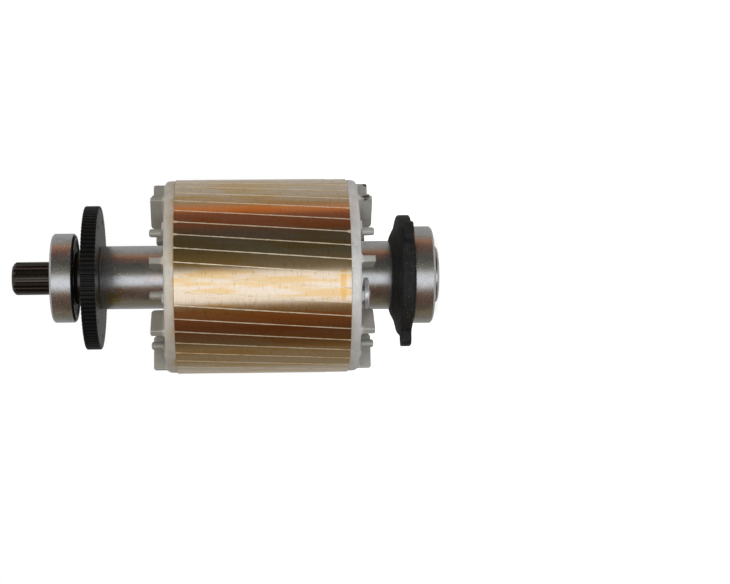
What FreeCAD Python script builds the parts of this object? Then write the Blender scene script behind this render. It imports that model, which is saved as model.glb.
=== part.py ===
import FreeCAD, Part
import math
import os
import re
import Sketcher
from FreeCAD import Placement, Rotation, Vector

# Squirrel-cage rotor of a small vehicle motor, with its bearings, speed gear and retainer plate.
# Millimetres and degrees. The rotor stands on the rear end of its shaft: the origin is the centre
# of that end face, and +Z runs along the shaft towards the spline. Rear means the low end, front the
# spline end.

# Every size that can be set by itself. Places along Z are worked out from these further down.
SIZES = {
    # Shaft, from the rear end to the spline
    "stub_length": 4.0,  # end of the shaft that stands out of the rear bearing
    "end_chamfer": 1.25,
    "rear_shaft_radius": 24.0,
    "rear_shaft_length": 39.5,  # from the rear bearing to the core seat
    "core_seat_radius": 25.0,
    "core_seat_lead": 5.5,  # seat that shows at each end of the core
    "seat_chamfer": 0.6,
    "front_shaft_radius": 22.0,
    "front_shaft_length": 53.0,  # from the core to the gear
    "gear_seat_radius": 19.0,
    "gear_seat_lead": 6.8,  # seat between the gear and the front bearing
    "spline_length": 28.0,
    "spline_outer_radius": 11.5,
    "spline_root_radius": 10.2,
    "spline_count": 18,
    "spline_root_gap": 1.5,
    "spline_tip_gap": 2.5,
    "spline_taper_length": 2.7,
    "spline_taper_depth": 2.8,
    "centre_mouth_radius": 4.35,
    "centre_pilot_radius": 1.6,
    "centre_cone_depth": 4.8,
    "centre_depth": 9.0,
    # Core of stacked laminations
    "core_radius": 67.6,
    "core_length": 117.5,
    # Cast cage: skewed bars, end rings, vanes and pins
    "cage_angle": -57.7,  # direction of the first pin, from +X
    "bar_count": 44,
    "bar_angle": 1.4,  # first bar's rear end, from the first pin
    "bar_skew": 7.5,
    "bar_mouth_width": 1.15,
    "bar_mouth_depth": 1.5,
    "bar_width": 4.8,
    "bar_shoulder_depth": 3.6,
    "bar_foot_width": 2.6,
    "bar_depth": 17.5,
    "slot_overrun": 1.0,  # how far the slot's cut runs out of the core
    "ring_thickness": 7.0,
    "ring_bore_radius": 41.0,
    "ring_step": 0.7,  # how far the rings stay inside the core's surface
    "ring_draft": 0.5,
    "ring_edge": 1.8,
    "ring_edge_drop": 0.8,
    "vane_count": 8,
    "vane_height": 9.4,
    "vane_inset": 0.4,  # from the ring's bore to the vane's inner end
    "vane_setback": 1.6,  # from the ring's outside to the vane's outer end
    "vane_foot_width": 5.4,
    "vane_crest_width": 4.2,
    "vane_rounding": 1.3,
    "pin_setback": 11.7,  # from the ring's outside to the pin's axis
    "pin_height": 9.8,
    "pin_foot_radius": 3.1,
    "pin_tip_radius": 2.7,
    "pin_rounding": 0.8,
    "pad_height": 1.9,
    "pad_width": 7.6,
    "pad_reach": 9.0,
    # Balance washer on one rear pin
    "washer_radius": 10.5,
    "washer_thickness": 2.8,
    "washer_clearance": 0.2,
    "washer_edge": 0.5,
    "rivet_dome_radius": 3.9,
    "rivet_dome_height": 1.7,
    # Speed gear
    "gear_tooth_count": 98,
    "gear_outer_radius": 50.0,
    "gear_tooth_depth": 2.25,
    "gear_root_gap": 1.0,
    "gear_tip_gap": 2.2,
    "gear_width": 10.2,
    "gear_edge": 0.5,
    "gear_hole_count": 7,
    "gear_hole_setback": 8.5,  # from the teeth's tips to the hole's axis
    "gear_hole_radius": 1.7,
    "gear_hole_depth": 8.0,
    "gear_hole_angle": -33.0,
    # Retainer plate, loose on the shaft behind the rear bearing
    "plate_gap": 0.3,  # between the plate and the bearing
    "plate_clearance": 0.6,  # between the plate's hole and the shaft
    "plate_angle": -50.0,
    "plate_rim_radius": 42.0,
    "plate_rim_height": 7.6,
    "plate_rim_edge": 0.9,
    "plate_cone_radius": 33.5,
    "plate_cone_height": 10.4,
    "plate_crown_radius": 28.0,
    "plate_crown_height": 13.2,
    "plate_boss_height": 14.2,
    "ear_count": 3,
    "ear_thickness": 7.0,
    "ear_length": 8.2,  # beyond the rim
    "ear_width": 16.0,
    "ear_corner": 4.5,
    "ear_flare": 5.0,
    "ear_root": 6.0,
    "ear_hole_setback": 6.2,  # from the ear's tip to the hole's axis
    "ear_hole_radius": 3.0,
    # Rear bearing
    "rear_bearing_width": 15.0,
    "rear_bore_radius": 20.0,
    "rear_outer_radius": 34.0,
    "rear_pitch_radius": 27.0,
    "rear_ball_radius": 3.97,
    "rear_ball_count": 12,
    "rear_inner_shoulder_radius": 24.6,
    "rear_inner_land_radius": 23.2,
    "rear_outer_shoulder_radius": 29.2,
    "rear_shield_seat_radius": 29.8,
    # Front bearing
    "front_bearing_width": 16.0,
    "front_bore_radius": 15.0,
    "front_outer_radius": 31.0,
    "front_pitch_radius": 23.0,
    "front_ball_radius": 4.76,
    "front_ball_count": 9,
    "front_inner_shoulder_radius": 20.2,
    "front_inner_land_radius": 19.0,
    "front_outer_shoulder_radius": 25.9,
    "front_shield_seat_radius": 26.6,
    # Details that both bearings share
    "race_chamfer": 1.4,
    "bore_chamfer": 0.8,
    "race_conformity": 1.03,  # radius of the ball track over the ball's
    "ball_clearance": 0.05,
    "shield_inset": 0.25,
    "shield_thickness": 0.5,
    "shield_dish": 0.5,
    "shield_clearance": 0.35,
    "land_length": 2.2,
    "ribbon_thickness": 0.7,
    "ribbon_clearance": 0.3,
    "pocket_clearance": 0.15,
    "ribbon_rivet_radius": 0.7,
    "ribbon_head_radius": 1.2,
    "ribbon_head_height": 0.45,
}

SHEET_NAME = "Sizes"
SIZE_NAME = re.compile(r"\b(" + "|".join(SIZES) + r")\b")
TURN_AXIS = Vector(0, 0, 1)

# Radii that follow from others, as expressions of the sizes
RING_OUTER = "(core_radius - ring_step)"
VANE_OUTER = f"({RING_OUTER} - vane_setback)"
PIN_CIRCLE = f"({RING_OUTER} - pin_setback)"
GEAR_ROOT = "(gear_outer_radius - gear_tooth_depth)"
GEAR_HOLE_CIRCLE = "(gear_outer_radius - gear_hole_setback)"
EAR_REACH = "(plate_rim_radius + ear_length)"
EAR_HOLE_CIRCLE = f"({EAR_REACH} - ear_hole_setback)"

# Places along Z, as expressions of the sizes
REAR_BEARING = "stub_length"
REAR_SHOULDER = "(stub_length + rear_bearing_width)"
CORE_SEAT = f"({REAR_SHOULDER} + rear_shaft_length)"
CORE_REAR = f"({CORE_SEAT} + core_seat_lead)"
CORE_FRONT = f"({CORE_REAR} + core_length)"
GEAR_REAR = f"({CORE_FRONT} + front_shaft_length)"
GEAR_FRONT = f"({GEAR_REAR} + gear_width)"
FRONT_BEARING = f"({GEAR_FRONT} + gear_seat_lead)"
FRONT_SHOULDER = f"({FRONT_BEARING} + front_bearing_width)"
SPLINE_TIP = f"({FRONT_SHOULDER} + spline_length)"
WASHER_SEAT = f"({CORE_REAR} - ring_thickness - pad_height)"

doc = FreeCAD.newDocument("motor_rotor")
sheet = doc.addObject("Spreadsheet::Sheet", SHEET_NAME)
parts = []


def fill_sheet():
    """Writes every size into the sheet, one row each."""
    for row, (name, number) in enumerate(SIZES.items(), start=1):
        sheet.set(f"A{row}", name)
        sheet.set(f"B{row}", str(number))
        sheet.setAlias(f"B{row}", name)
    doc.recompute()


def value(text):
    """The number that an expression of sizes gives."""
    return float(sheet.evalExpression(text))


def bound(text):
    """The expression as the other objects of the document write it."""
    return SIZE_NAME.sub(SHEET_NAME + r".\1", text)


def bind(thing, prop, text):
    """Ties a property to an expression of sizes."""
    thing.setExpression(prop, bound(text))


def new_body(name, angle=None):
    """A body whose label is the sub-part's name, turned about the shaft by an angle."""
    body = doc.addObject("PartDesign::Body", name)
    body.Label = name
    body.Placement = Placement(Vector(0, 0, 0), Rotation(TURN_AXIS, 0))
    if angle is not None:
        body.Placement = Placement(Vector(0, 0, 0), Rotation(TURN_AXIS, value(angle)))
        bind(body, "Placement.Rotation.Angle", angle)
    parts.append(body)
    return body


def origin_feature(body, role):
    """One of the planes or axes of the body's own origin."""
    return next(item for item in body.Origin.OriginFeatures if item.Role == role)


def level_sketch(body, name, height, turn="0"):
    """A sketch square to the shaft at a height, its X axis turned about the shaft."""
    sketch = body.newObject("Sketcher::SketchObject", name)
    sketch.AttachmentSupport = [(origin_feature(body, "XY_Plane"), "")]
    sketch.MapMode = "FlatFace"
    sketch.AttachmentOffset = Placement(Vector(0, 0, value(height)), Rotation(TURN_AXIS, value(turn)))
    bind(sketch, "AttachmentOffset.Base.z", height)
    bind(sketch, "AttachmentOffset.Rotation.Angle", turn)
    return sketch


def profile_sketch(body, name):
    """A sketch in the plane of the shaft: X is the radius and Y the height."""
    sketch = body.newObject("Sketcher::SketchObject", name)
    sketch.AttachmentSupport = [(origin_feature(body, "XZ_Plane"), "")]
    sketch.MapMode = "FlatFace"
    return sketch


def facing_sketch(body, name, distance):
    """A sketch that faces outward from the shaft, at a distance along the body's X axis."""
    sketch = body.newObject("Sketcher::SketchObject", name)
    sketch.AttachmentSupport = [(origin_feature(body, "YZ_Plane"), "")]
    sketch.MapMode = "FlatFace"
    sketch.AttachmentOffset = Placement(Vector(0, 0, value(distance)), Rotation())
    bind(sketch, "AttachmentOffset.Base.z", distance)
    return sketch


def place_point(sketch, edge, end, x, y, name):
    """Holds one end of an edge at two expressions of sizes."""
    for kind, axis, text, number in (("DistanceX", -2, x, value(x)), ("DistanceY", -1, y, value(y))):
        if text == "0":
            sketch.addConstraint(Sketcher.Constraint("PointOnObject", edge, end, axis))
            continue
        index = sketch.addConstraint(Sketcher.Constraint(kind, -1, 1, edge, end, number))
        label = f"{name}_{kind[-1].lower()}"
        sketch.renameConstraint(index, label)
        bind(sketch, f"Constraints.{label}", text)


def arc_between(start, end, radius, bulge):
    """The shorter arc from start to end, and which of its ends comes first."""
    chord = end - start
    left = Vector(-chord.y, chord.x, 0).normalize()
    rise = math.sqrt(radius**2 - (chord.Length / 2) ** 2)
    side = 1 if bulge == "right" else -1
    centre = (start + end) * 0.5 + left * (rise * side)
    circle = Part.Circle(centre, Vector(0, 0, 1), radius)
    angles = [math.atan2((point - centre).y, (point - centre).x) for point in (start, end)]
    if bulge == "right":
        return Part.ArcOfCircle(circle, angles[0], angles[1]), (1, 2)
    return Part.ArcOfCircle(circle, angles[1], angles[0]), (2, 1)


def draw_outline(sketch, corners, arcs=None):
    """Draws a closed outline. arcs maps an edge's number to (radius, side it bulges to)."""
    arcs = arcs or {}
    points = [Vector(value(x), value(y), 0) for x, y in corners]
    ends = []
    for number, start in enumerate(points):
        finish = points[(number + 1) % len(points)]
        if number in arcs:
            radius, bulge = arcs[number]
            arc, order = arc_between(start, finish, value(radius), bulge)
            sketch.addGeometry(arc, False)
            ends.append(order)
        else:
            sketch.addGeometry(Part.LineSegment(start, finish), False)
            ends.append((1, 2))
    for number, order in enumerate(ends):
        following = (number + 1) % len(ends)
        sketch.addConstraint(
            Sketcher.Constraint("Coincident", number, order[1], following, ends[following][0])
        )
    for number, (x, y) in enumerate(corners):
        place_point(sketch, number, ends[number][0], x, y, f"corner_{number}")
    for number, (radius, _) in arcs.items():
        index = sketch.addConstraint(Sketcher.Constraint("Radius", number, value(radius)))
        sketch.renameConstraint(index, f"arc_{number}")
        bind(sketch, f"Constraints.arc_{number}", radius)


def draw_circle(sketch, x, radius):
    """Draws a circle whose centre lies on the sketch's X axis."""
    centre = Vector(value(x), 0, 0)
    number = sketch.addGeometry(Part.Circle(centre, Vector(0, 0, 1), value(radius)), False)
    place_point(sketch, number, 3, x, "0", f"centre_{number}")
    index = sketch.addConstraint(Sketcher.Constraint("Radius", number, value(radius)))
    sketch.renameConstraint(index, f"radius_{number}")
    bind(sketch, f"Constraints.radius_{number}", radius)


def revolve(body, name, corners, arcs=None):
    """Adds a turned feature to a body from its half profile."""
    sketch = profile_sketch(body, name + "_profile")
    draw_outline(sketch, corners, arcs)
    feature = body.newObject("PartDesign::Revolution", name)
    feature.Profile = sketch
    feature.ReferenceAxis = (sketch, ["V_Axis"])
    feature.Angle = 360
    body.Tip = feature
    return feature


def turned_body(name, corners, arcs=None):
    """A sub-part that is turned from one profile."""
    body = new_body(name)
    revolve(body, name + "_turned", corners, arcs)
    return body


def pad(body, name, sketch, length):
    """Adds a feature of a sketch's outline, along the sketch's normal."""
    feature = body.newObject("PartDesign::Pad", name)
    feature.Profile = sketch
    feature.Length = value(length)
    bind(feature, "Length", length)
    body.Tip = feature
    return feature


def pocket(body, name, sketch, depth, along_normal):
    """Cuts a sketch's outline into a body, along the sketch's normal or against it."""
    doc.recompute()
    before = body.Shape.Volume
    feature = body.newObject("PartDesign::Pocket", name)
    feature.Profile = sketch
    feature.Length = value(depth)
    bind(feature, "Length", depth)
    feature.Reversed = along_normal
    body.Tip = feature
    doc.recompute()
    if body.Shape.Volume >= before:
        raise ValueError(f"{name} cuts nothing")
    return feature


def loft(body, kind, name, sketches):
    """Adds or cuts the straight-sided form between sketches."""
    feature = body.newObject(f"PartDesign::{kind}Loft", name)
    feature.Profile = sketches[0]
    feature.Sections = sketches[1:]
    feature.Ruled = True
    body.Tip = feature
    return feature


def repeat(body, name, features, count, sweep="360"):
    """Repeats features about the shaft."""
    doc.recompute()
    pattern = body.newObject("PartDesign::PolarPattern", name)
    pattern.Originals = features
    pattern.Axis = (origin_feature(body, "Z_Axis"), [""])
    pattern.Angle = value(sweep)
    bind(pattern, "Angle", sweep)
    pattern.Occurrences = round(value(count))
    bind(pattern, "Occurrences", count)
    body.Tip = pattern
    return pattern


def rectangle(near, far, width):
    """Corners of a rectangle from one distance to another along X, with its width across."""
    half = f"({width}) / 2"
    return [(near, f"-{half}"), (far, f"-{half}"), (far, half), (near, half)]


def make_shaft():
    """Steel shaft with a centre hole in each end, stepped seats and a splined front end."""
    seat_end = f"({CORE_FRONT} + core_seat_lead)"
    centre_back = f"({SPLINE_TIP} - centre_depth)"
    body = turned_body("shaft", [
        ("0", "centre_depth"),
        ("centre_pilot_radius", "centre_depth"),
        ("centre_pilot_radius", "centre_cone_depth"),
        ("centre_mouth_radius", "0"),
        ("rear_bore_radius - end_chamfer", "0"),
        ("rear_bore_radius", "end_chamfer"),
        ("rear_bore_radius", REAR_SHOULDER),
        ("rear_shaft_radius - seat_chamfer", REAR_SHOULDER),
        ("rear_shaft_radius", f"{REAR_SHOULDER} + seat_chamfer"),
        ("rear_shaft_radius", CORE_SEAT),
        ("core_seat_radius - seat_chamfer", CORE_SEAT),
        ("core_seat_radius", f"{CORE_SEAT} + seat_chamfer"),
        ("core_seat_radius", f"{seat_end} - seat_chamfer"),
        ("core_seat_radius - seat_chamfer", seat_end),
        ("front_shaft_radius", seat_end),
        ("front_shaft_radius", f"{GEAR_REAR} - seat_chamfer"),
        ("front_shaft_radius - seat_chamfer", GEAR_REAR),
        ("gear_seat_radius", GEAR_REAR),
        ("gear_seat_radius", f"{FRONT_BEARING} - seat_chamfer"),
        ("gear_seat_radius - seat_chamfer", FRONT_BEARING),
        ("front_bore_radius", FRONT_BEARING),
        ("front_bore_radius", FRONT_SHOULDER),
        ("spline_outer_radius", FRONT_SHOULDER),
        ("spline_outer_radius", f"{SPLINE_TIP} - spline_taper_length"),
        ("spline_outer_radius - spline_taper_depth", SPLINE_TIP),
        ("centre_mouth_radius", SPLINE_TIP),
        ("centre_pilot_radius", f"{SPLINE_TIP} - centre_cone_depth"),
        ("centre_pilot_radius", centre_back),
        ("0", centre_back),
    ])
    gap = level_sketch(body, "spline_gap_outline", SPLINE_TIP)
    outside = "(2 * spline_outer_radius - spline_root_radius)"
    opening = "(2 * spline_tip_gap - spline_root_gap) / 2"
    draw_outline(gap, [
        ("spline_root_radius", "-spline_root_gap / 2"),
        (outside, f"-{opening}"),
        (outside, opening),
        ("spline_root_radius", "spline_root_gap / 2"),
    ])
    cut = pocket(body, "spline_gap", gap, "spline_length", along_normal=False)
    repeat(body, "spline_gaps", [cut], "spline_count")


def bar_section(body, name, height, turn, top):
    """The cross-section of one bar: a narrow mouth at the core's surface, then a tapering wedge."""
    sketch = level_sketch(body, name, height, turn)
    half = [
        (top, "bar_mouth_width / 2"),
        ("core_radius - bar_mouth_depth", "bar_mouth_width / 2"),
        ("core_radius - bar_shoulder_depth", "bar_width / 2"),
        ("core_radius - bar_depth", "bar_foot_width / 2"),
    ]
    draw_outline(sketch, half + [(x, f"-{y}") for x, y in reversed(half)])
    return sketch


def bar_loft(body, kind, name, top):
    """One skewed bar, or the cut for it, through the whole core."""
    sections = [
        bar_section(body, name + "_rear", CORE_REAR, "bar_angle", top),
        bar_section(body, name + "_front", CORE_FRONT, "bar_angle + bar_skew", top),
    ]
    return loft(body, kind, name, sections)


def make_core():
    """Stacked laminations, pressed on the shaft and slotted for the bars."""
    body = new_body("lamination_stack", "cage_angle")
    revolve(body, "core_cylinder", [
        ("core_seat_radius", CORE_REAR),
        ("core_radius", CORE_REAR),
        ("core_radius", CORE_FRONT),
        ("core_seat_radius", CORE_FRONT),
    ])
    doc.recompute()
    slot = bar_loft(body, "Subtractive", "slot", "core_radius + slot_overrun")
    slots = repeat(body, "slots", [slot], "bar_count")
    # The skewed slots cross the cylinder's seam, so its faces aren't merged
    for feature in (slot, slots):
        feature.Refine = False


def stacked_circles(body, name, circles, turn):
    """A turned form away from the shaft: circles of a radius at each height, on the pin circle."""
    sketches = []
    for number, (height, radius) in enumerate(circles):
        sketch = level_sketch(body, f"{name}_{number}", height, turn)
        draw_circle(sketch, PIN_CIRCLE, radius)
        sketches.append(sketch)
    return loft(body, "Additive", name, sketches)


def add_ring_end(body, name, core_face, out):
    """One end ring with its vanes and pads. out is the sign of the way out of the core."""
    face = f"({core_face} {out} ring_thickness)"
    crest = f"({face} {out} vane_height)"
    revolve(body, name + "_ring", [
        ("ring_bore_radius", core_face),
        (RING_OUTER, core_face),
        (f"{RING_OUTER} - ring_draft", f"{core_face} {out} (ring_thickness - ring_edge)"),
        (f"{RING_OUTER} - ring_draft - ring_edge_drop", face),
        ("ring_bore_radius", face),
    ])
    # Vanes lie half way between the pins
    vane_angle = "-180 / vane_count"
    levels = [
        (face, "0", "vane_foot_width"),
        (f"{face} {out} (vane_height - vane_rounding)", "0.3 * vane_rounding", "vane_crest_width"),
        (crest, "1.3 * vane_rounding", "vane_crest_width - vane_rounding"),
    ]
    sections = []
    for number, (height, inset, width) in enumerate(levels):
        sketch = level_sketch(body, f"{name}_vane_{number}", height, vane_angle)
        near = f"ring_bore_radius + vane_inset + {inset}"
        far = f"{VANE_OUTER} - {inset}"
        draw_outline(sketch, rectangle(near, far, width))
        sections.append(sketch)
    vane = loft(body, "Additive", name + "_vane", sections)
    repeat(body, name + "_vanes", [vane], "vane_count")
    # Pads between each pin and the rim
    low = face if out == "+" else f"({face} - pad_height)"
    outline = level_sketch(body, name + "_pad_outline", low)
    draw_outline(outline, rectangle(PIN_CIRCLE, f"{PIN_CIRCLE} + pad_reach", "pad_width"))
    block = pad(body, name + "_pad", outline, "pad_height")
    repeat(body, name + "_pads", [block], "vane_count")
    return face


def pin_levels(face, out):
    """Heights and radii of a pin, from the ring's face to its rounded tip."""
    return [
        (face, "pin_foot_radius"),
        (f"{face} {out} (pin_height - pin_rounding)", "pin_tip_radius"),
        (f"{face} {out} pin_height", "pin_tip_radius - pin_rounding"),
    ]


def make_cage():
    """Cast aluminium cage: two end rings with vanes and pins, joined by the skewed bars."""
    body = new_body("squirrel_cage", "cage_angle")
    body.AllowCompound = True
    rear_face = add_ring_end(body, "rear", CORE_REAR, "-")
    front_face = add_ring_end(body, "front", CORE_FRONT, "+")
    front_pin = stacked_circles(body, "front_pin", pin_levels(front_face, "+"), "0")
    repeat(body, "front_pins", [front_pin], "vane_count")
    rear_pin = stacked_circles(body, "rear_pin", pin_levels(rear_face, "-"), "0")
    # The pin before the first one carries the balance washer and is hammered over
    plain_sweep = "360 * (vane_count - 2) / vane_count"
    repeat(body, "rear_pins", [rear_pin], "vane_count - 1", plain_sweep)
    washer_face = f"({WASHER_SEAT} - washer_thickness)"
    stacked_circles(body, "riveted_pin", [
        (rear_face, "pin_foot_radius"),
        (washer_face, "pin_foot_radius"),
    ], "-360 / vane_count")
    stacked_circles(body, "riveted_dome", [
        (washer_face, "rivet_dome_radius"),
        (f"{washer_face} - rivet_dome_height / 2", "0.92 * rivet_dome_radius"),
        (f"{washer_face} - rivet_dome_height", "0.5 * rivet_dome_radius"),
    ], "-360 / vane_count")
    bar = bar_loft(body, "Additive", "bar", "core_radius")
    repeat(body, "bars", [bar], "bar_count")


def make_washer():
    """Zinc-plated balance washer under the hammered pin, beside a vane of the rear ring."""
    direction = "(cage_angle - 360 / vane_count)"
    bottom = f"({WASHER_SEAT} - washer_thickness)"
    hole = "pin_foot_radius + washer_clearance"
    body = turned_body("balance_washer", [
        (hole, "0"),
        ("washer_radius - washer_edge", "0"),
        ("washer_radius", "washer_edge"),
        ("washer_radius", "washer_thickness"),
        (hole, "washer_thickness"),
    ])
    bind(body, "Placement.Base.x", f"{PIN_CIRCLE} * cos({direction})")
    bind(body, "Placement.Base.y", f"{PIN_CIRCLE} * sin({direction})")
    bind(body, "Placement.Base.z", bottom)


def make_gear():
    """Blackened speed gear with fine straight teeth and small holes in its rear face."""
    body = turned_body("speed_gear", [
        ("gear_seat_radius", GEAR_REAR),
        ("gear_outer_radius - gear_edge", GEAR_REAR),
        ("gear_outer_radius", f"{GEAR_REAR} + gear_edge"),
        ("gear_outer_radius", f"{GEAR_FRONT} - gear_edge"),
        ("gear_outer_radius - gear_edge", GEAR_FRONT),
        ("gear_seat_radius", GEAR_FRONT),
    ])
    gap = level_sketch(body, "tooth_gap_outline", GEAR_FRONT)
    outside = f"(2 * gear_outer_radius - {GEAR_ROOT})"
    opening = "(2 * gear_tip_gap - gear_root_gap) / 2"
    draw_outline(gap, [
        (GEAR_ROOT, "-gear_root_gap / 2"),
        (outside, f"-{opening}"),
        (outside, opening),
        (GEAR_ROOT, "gear_root_gap / 2"),
    ])
    cut = pocket(body, "tooth_gap", gap, "gear_width", along_normal=False)
    repeat(body, "tooth_gaps", [cut], "gear_tooth_count")
    hole = level_sketch(body, "gear_hole_outline", GEAR_REAR, "gear_hole_angle")
    draw_circle(hole, GEAR_HOLE_CIRCLE, "gear_hole_radius")
    drilled = pocket(body, "gear_hole", hole, "gear_hole_depth", along_normal=True)
    repeat(body, "gear_holes", [drilled], "gear_hole_count")


def make_plate():
    """Cast retainer plate with a domed front and three ears, loose on the shaft."""
    rear = f"({REAR_SHOULDER} + plate_gap)"
    hole = "rear_shaft_radius + plate_clearance"
    body = new_body("retainer_plate", "plate_angle")
    revolve(body, "plate_disc", [
        (hole, rear),
        ("plate_rim_radius", rear),
        ("plate_rim_radius", f"{rear} + plate_rim_height"),
        ("plate_rim_radius - plate_rim_edge", f"{rear} + plate_rim_height + plate_rim_edge"),
        ("plate_cone_radius", f"{rear} + plate_cone_height"),
        ("plate_crown_radius", f"{rear} + plate_crown_height"),
        (hole, f"{rear} + plate_boss_height"),
    ])
    half = "(ear_width / 2)"
    root_half = "(ear_width / 2 + ear_flare)"
    rim_x = f"sqrt(plate_rim_radius ^ 2 - {root_half} ^ 2)"
    tip_x = f"({EAR_REACH} - ear_corner)"
    outline = level_sketch(body, "ear_outline", rear)
    draw_outline(outline, [
        (f"{rim_x} - ear_root", f"-{root_half}"),
        (rim_x, f"-{root_half}"),
        (f"{rim_x} + ear_flare", f"-{half}"),
        (tip_x, f"-{half}"),
        (EAR_REACH, f"-({half} - ear_corner)"),
        (EAR_REACH, f"{half} - ear_corner"),
        (tip_x, half),
        (f"{rim_x} + ear_flare", half),
        (rim_x, root_half),
        (f"{rim_x} - ear_root", root_half),
    ], {
        1: ("ear_flare", "left"),
        3: ("ear_corner", "right"),
        5: ("ear_corner", "right"),
        7: ("ear_flare", "left"),
    })
    ear = pad(body, "ear", outline, "ear_thickness")
    repeat(body, "ears", [ear], "ear_count")
    hole_outline = level_sketch(body, "ear_hole_outline", rear)
    draw_circle(hole_outline, EAR_HOLE_CIRCLE, "ear_hole_radius")
    drilled = pocket(body, "ear_hole", hole_outline, "ear_thickness + plate_cone_height", along_normal=True)
    repeat(body, "ear_holes", [drilled], "ear_count")


def race_groove(side, shoulder, ball, pitch, middle):
    """Ends and radius of a ball track in a ring. side is + for the outer ring and - for the inner."""
    radius = f"({ball} * race_conformity)"
    centre = f"({pitch} {side} ({ball} + ball_clearance - {radius}))"
    half = f"sqrt({radius} ^ 2 - ({shoulder} - {centre}) ^ 2)"
    return (shoulder, f"{middle} - {half}"), (shoulder, f"{middle} + {half}"), radius


def make_rings(end, low, middle, high):
    """Inner and outer ring of one bearing, each with its ball track."""
    shield_depth = "(shield_inset + shield_thickness + shield_dish)"
    bore = f"{end}_bore_radius"
    outer = f"{end}_outer_radius"
    seat = f"{end}_shield_seat_radius"
    ball = f"{end}_ball_radius"
    pitch = f"{end}_pitch_radius"
    inner_shoulder = f"{end}_inner_shoulder_radius"
    land = f"{end}_inner_land_radius"
    start, stop, radius = race_groove("-", inner_shoulder, ball, pitch, middle)
    turned_body(f"{end}_inner_ring", [
        (bore, f"{low} + bore_chamfer"),
        (f"{bore} + bore_chamfer", low),
        (land, low),
        (land, f"{low} + land_length"),
        (inner_shoulder, f"{low} + land_length"),
        start,
        stop,
        (inner_shoulder, f"{high} - land_length"),
        (land, f"{high} - land_length"),
        (land, high),
        (f"{bore} + bore_chamfer", high),
        (bore, f"{high} - bore_chamfer"),
    ], {5: (radius, "left")})
    outer_shoulder = f"{end}_outer_shoulder_radius"
    start, stop, radius = race_groove("+", outer_shoulder, ball, pitch, middle)
    turned_body(f"{end}_outer_ring", [
        (seat, low),
        (f"{outer} - race_chamfer", low),
        (outer, f"{low} + race_chamfer"),
        (outer, f"{high} - race_chamfer"),
        (f"{outer} - race_chamfer", high),
        (seat, high),
        (seat, f"{high} - {shield_depth}"),
        (outer_shoulder, f"{high} - {shield_depth}"),
        stop,
        start,
        (outer_shoulder, f"{low} + {shield_depth}"),
        (seat, f"{low} + {shield_depth}"),
    ], {8: (radius, "left")})


def make_shield(name, end, face, inward):
    """Pressed steel shield: a seated rim and a dished disc. inward is the sign of the way in."""
    seat = f"{end}_shield_seat_radius"
    hole = f"{end}_inner_land_radius + shield_clearance"
    start = f"({face} {inward} shield_inset)"
    dish = f"({start} {inward} shield_dish)"
    turned_body(name, [
        (hole, dish),
        (f"{seat} - 2 * shield_dish", dish),
        (f"{seat} - shield_dish", start),
        (seat, start),
        (seat, f"{dish} {inward} shield_thickness"),
        (hole, f"{dish} {inward} shield_thickness"),
    ])


def make_balls(end, middle):
    """The balls of one bearing, as one group."""
    body = new_body(f"{end}_balls")
    body.AllowCompound = True
    ball = body.newObject("PartDesign::AdditiveSphere", f"{end}_ball")
    ball.AttachmentSupport = [(origin_feature(body, "XY_Plane"), "")]
    ball.MapMode = "FlatFace"
    bind(ball, "AttachmentOffset.Base.x", f"{end}_pitch_radius")
    bind(ball, "AttachmentOffset.Base.z", middle)
    bind(ball, "Radius", f"{end}_ball_radius")
    body.Tip = ball
    repeat(body, f"{end}_ball_circle", [ball], f"{end}_ball_count")


def make_ribbon(name, end, middle, side):
    """One half of a pressed ball cage: a flat ribbon that arches over each ball."""
    body = new_body(name)
    count = f"{end}_ball_count"
    near = f"({end}_inner_shoulder_radius + ribbon_clearance)"
    far = f"({end}_outer_shoulder_radius - ribbon_clearance)"
    inside = f"({end}_ball_radius + pocket_clearance)"
    outside = f"({inside} + ribbon_thickness)"
    revolve(body, name + "_flat", [
        (near, middle),
        (far, middle),
        (far, f"{middle} {side} ribbon_thickness"),
        (near, f"{middle} {side} ribbon_thickness"),
    ])
    gap = facing_sketch(body, name + "_gap_outline", "0")
    opening = [("-" + inside, f"{middle} - ribbon_thickness"), (inside, f"{middle} - ribbon_thickness")]
    opening += [(inside, f"{middle} + ribbon_thickness"), ("-" + inside, f"{middle} + ribbon_thickness")]
    draw_outline(gap, opening)
    cut = pocket(body, name + "_gap", gap, far + " + ribbon_clearance", along_normal=True)
    # The arch is drawn as two quarter rings a side, from the flat to the crown
    arch = facing_sketch(body, name + "_arch_outline", near)
    bulges = ("left", "right") if side == "+" else ("right", "left")
    draw_outline(arch, [
        ("-" + outside, middle),
        ("0", f"{middle} {side} {outside}"),
        (outside, middle),
        (inside, middle),
        ("0", f"{middle} {side} {inside}"),
        ("-" + inside, middle),
    ], {
        0: (outside, bulges[0]),
        1: (outside, bulges[0]),
        3: (inside, bulges[1]),
        4: (inside, bulges[1]),
    })
    crown = pad(body, name + "_arch", arch, f"{far} - {near}")
    repeat(body, name + "_arches", [cut, crown], count)
    hole = level_sketch(body, name + "_hole_outline", f"{middle} - ribbon_thickness", f"180 / {count}")
    draw_circle(hole, f"({near} + {far}) / 2", "ribbon_rivet_radius")
    drilled = pocket(body, name + "_hole", hole, "2 * ribbon_thickness", along_normal=True)
    repeat(body, name + "_holes", [drilled], count)


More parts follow.
